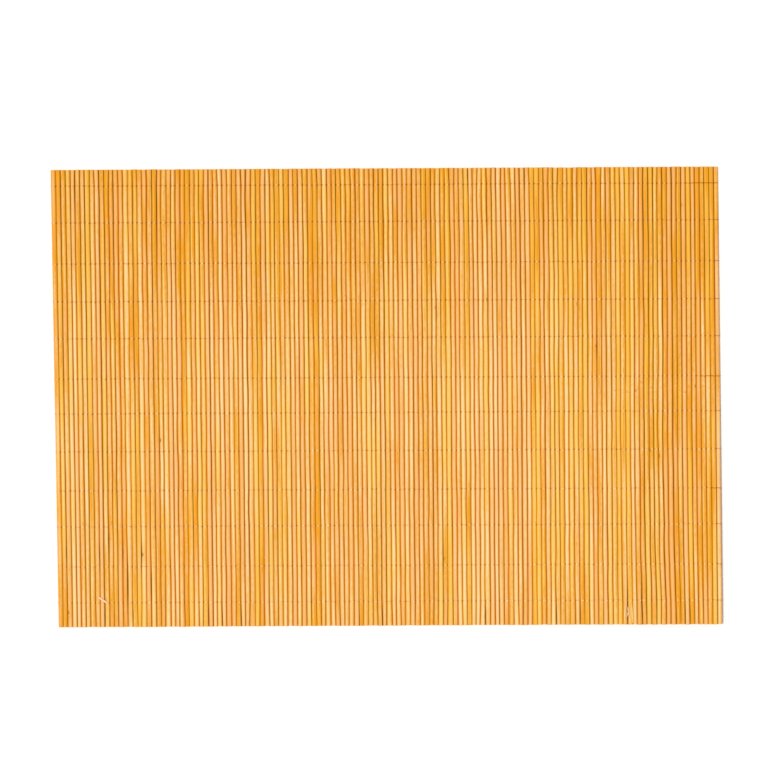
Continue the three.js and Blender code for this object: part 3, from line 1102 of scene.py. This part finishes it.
def sliver_material():
    """A torn sliver of raw bamboo: very pale or pink, matt and stringy."""
    palette = bpy.context.scene.placemat_colours
    material = new_material("raw_sliver")
    strings = noise(stretched(object_place(material), 5200.0, 900.0, 3000.0))
    raw = mixed(attribute(material, "pink", "Fac"), palette.fleck, palette.sliver)
    return surfaced(material, {
        "Base Color": mixed(ranged(strings, 0.3, 0.6, 0.2, 0.9), raw, palette.pale),
        "Roughness": ranged(strings, 0.3, 0.7, 0.6, 0.75),
        "Normal": bumped(strings, 0.5, 0.04 * MM),
    })


def floor_material():
    """A plain pale floor with the faintest unevenness."""
    material = new_material("pale_floor")
    cloud = noise(stretched(object_place(material), 3.0, 3.0, 3.0))
    inputs = {0: tuple(bpy.context.scene.placemat_stage.floor), 3: ranged(cloud, 0.3, 0.7, 0.985, 1.0)}
    dimmed = result(material.node_tree, "ShaderNodeVectorMath", inputs, operation="SCALE")
    return surfaced(material, {"Base Color": dimmed, "Roughness": 0.9, "Specular IOR Level": 0.1})


class PLACEMAT_OT_slats(bpy.types.Operator):
    """Make all the bamboo slats as one piece of separate closed bodies"""

    bl_idname = "placemat.make_slats"
    bl_label = "Make Slats"
    bl_options = {"REGISTER", "UNDO"}

    def execute(self, context):
        sheet = SlatSheet()
        rng = np.random.default_rng(sheet.settings.seed + 2)
        joint_at, joint_strength = joint_places(rng)
        points, side, dark = slat_surface(sheet, joint_at, joint_strength)
        faces = tube_faces(*side.shape)
        piece = new_piece("bamboo_slats", points, faces, [bamboo_material(), cut_end_material()])
        mesh = piece.data
        cut = np.arange(len(faces)) >= len(faces) - 2 * SLAT_COUNT
        mesh.polygons.foreach_set("material_index", cut.astype(np.int32))
        mesh.polygons.foreach_set("use_smooth", ~cut)
        grain, places = slat_corners(sheet)
        set_values(mesh, "grain", *grain.T, domain="CORNER")
        set_map(mesh, "OFBake", places)
        set_values(mesh, "slat_tone", *slat_tones(sheet, points, rng))
        set_values(mesh, "cane_joint", joint_at / MM, joint_strength, 0)
        set_values(mesh, "knot", *knot_marks(sheet))
        set_values(mesh, "side", side)
        set_values(mesh, "flank", dark)
        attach(piece, BODY)
        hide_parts("slats")
        return {"FINISHED"}


class PLACEMAT_OT_threads(bpy.types.Operator):
    """Make the rows of twined thread, each pair as one closed strand that turns at both edges"""

    bl_idname = "placemat.make_threads"
    bl_label = "Make Threads"
    bl_options = {"REGISTER", "UNDO"}

    def execute(self, context):
        sheet = SlatSheet()
        rng = np.random.default_rng(sheet.settings.seed + 3)
        material = thread_material()
        for row, node in enumerate(thread_nodes()):
            path, over = thread_loop(sheet, row, rng)
            points = thread_surface(path, over)
            name = node.replace("warp", "thread_row")
            piece = new_piece(name, points, thread_faces(len(path)), [material])
            mesh = piece.data
            mesh.shade_smooth()
            lay, places = thread_corners(path, row)
            set_values(mesh, "lay", *lay.T, domain="CORNER")
            set_map(mesh, "OFBake", places)
            reach = LONG_STAIN.get(node, STAIN["reach"])
            strength = (LONG_STAIN if node in LONG_STAIN else STAIN)["strength"]
            stain = strength * np.exp(-(((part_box(node)[1][0] - path[:, 0]) / reach) ** 2))
            shade = ROW_SHADE * (ROW_SHADE_MIDDLE + sheet.mat["rows"][row] / sheet.mat["far"])
            # The crown sets where the thread's painted dive shade shows: low where the strand dives,
            # lowered by the stain and by the row's deeper tint.
            set_values(mesh, "crown", np.clip(over, 0, 1) ** THREAD_DIVE * (1 - stain) - shade)
            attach(piece, BODY)
            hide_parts(node)
        return {"FINISHED"}


class PLACEMAT_OT_slivers(bpy.types.Operator):
    """Make the few pale slivers that have torn from the slats"""

    bl_idname = "placemat.make_slivers"
    bl_label = "Make Slivers"
    bl_options = {"REGISTER", "UNDO"}

    def execute(self, context):
        start_x, start_y, end_x, end_y, width, pink = np.array(SLIVERS).T
        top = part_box("slats")[1][2] + SLIVER_STAND
        starts = np.stack([start_x, start_y, top + lift(start_x, start_y)], axis=1)
        ends = np.stack([end_x, end_y, top + lift(end_x, end_y)], axis=1)
        points = sliver_surface(starts, ends, width)
        faces = tube_faces(len(SLIVERS), SLIVER_RINGS, SLIVER_SIDES)
        piece = new_piece("bamboo_slivers", points, faces, [sliver_material()])
        piece.data.shade_smooth()
        set_values(piece.data, "pink", pink)
        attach(piece, BODY)
        return {"FINISHED"}


class PLACEMAT_OT_stage(bpy.types.Operator):
    """Make the pale floor, the soft light and the camera that looks straight down"""

    bl_idname = "placemat.make_stage"
    bl_label = "Make Stage"
    bl_options = {"REGISTER", "UNDO"}

    def execute(self, context):
        scene = context.scene
        settings = scene.placemat_stage
        corners = np.array([(-1, -1, 0), (1, -1, 0), (1, 1, 0), (-1, 1, 0)]) * FLOOR_HALF
        floor = new_piece("floor", corners, [[0, 1, 2, 3]], [floor_material()])
        key = bpy.data.lights.new("key_light", "SUN")
        key.energy = settings.key
        key.angle = settings.key_spread
        key_object = bpy.data.objects.new("key_light", key)
        key_object.rotation_euler = (0, -settings.key_lean, 0)
        scene.collection.objects.link(key_object)
        world = bpy.data.worlds.new("even_sky")
        world.use_nodes = True
        background = world.node_tree.nodes["Background"]
        background.inputs["Color"].default_value = (1.0, 1.0, 1.0, 1.0)
        background.inputs["Strength"].default_value = settings.sky
        scene.world = world
        scene.view_settings.view_transform = "Standard"
        camera = bpy.data.cameras.new("camera")
        camera.lens = settings.lens
        distance = settings.frame_width * camera.lens / camera.sensor_width
        camera_object = bpy.data.objects.new("camera", camera)
        camera_object.location = (settings.aim_x, settings.aim_y, distance + CAD_BOX[1][2])
        camera_object.rotation_euler = (0, 0, settings.roll)
        scene.collection.objects.link(camera_object)
        scene.camera = camera_object
        return {"FINISHED"}


class PLACEMAT_PT_panel(bpy.types.Panel):
    """The placemat's pieces and their sizes"""

    bl_idname = "PLACEMAT_PT_panel"
    bl_label = "Bamboo Placemat"
    bl_space_type = "VIEW_3D"
    bl_region_type = "UI"
    bl_category = "Placemat"

    def draw(self, context):
        for operator in OPERATORS:
            self.layout.operator(operator.bl_idname)
        for name in SETTINGS:
            settings = getattr(context.scene, name)
            box = self.layout.box()
            for field in settings.bl_rna.properties:
                if not field.is_readonly and field.identifier != "name":
                    box.prop(settings, field.identifier)


SETTINGS = {
    "placemat_slats": PLACEMAT_PG_slats,
    "placemat_thread": PLACEMAT_PG_thread,
    "placemat_lie": PLACEMAT_PG_lie,
    "placemat_colours": PLACEMAT_PG_colours,
    "placemat_stage": PLACEMAT_PG_stage,
}
OPERATORS = [PLACEMAT_OT_stage, PLACEMAT_OT_slats, PLACEMAT_OT_threads, PLACEMAT_OT_slivers]
CLASSES = [*SETTINGS.values(), *OPERATORS, PLACEMAT_PT_panel]


def register():
    for item in CLASSES:
        bpy.utils.register_class(item)
    for name, group in SETTINGS.items():
        setattr(bpy.types.Scene, name, bpy.props.PointerProperty(type=group))


def unregister():
    for name in SETTINGS:
        delattr(bpy.types.Scene, name)
    for item in reversed(CLASSES):
        bpy.utils.unregister_class(item)


def declare_sheet():
    """Reads the mat's outline from the frame, and does nothing more with it."""
    mat = outline()


def main():
    register()
    bpy.ops.placemat.make_stage()
    bpy.ops.placemat.make_slats()
    bpy.ops.placemat.make_threads()
    bpy.ops.placemat.make_slivers()
    declare_sheet()


if __name__ == "__main__":
    main()
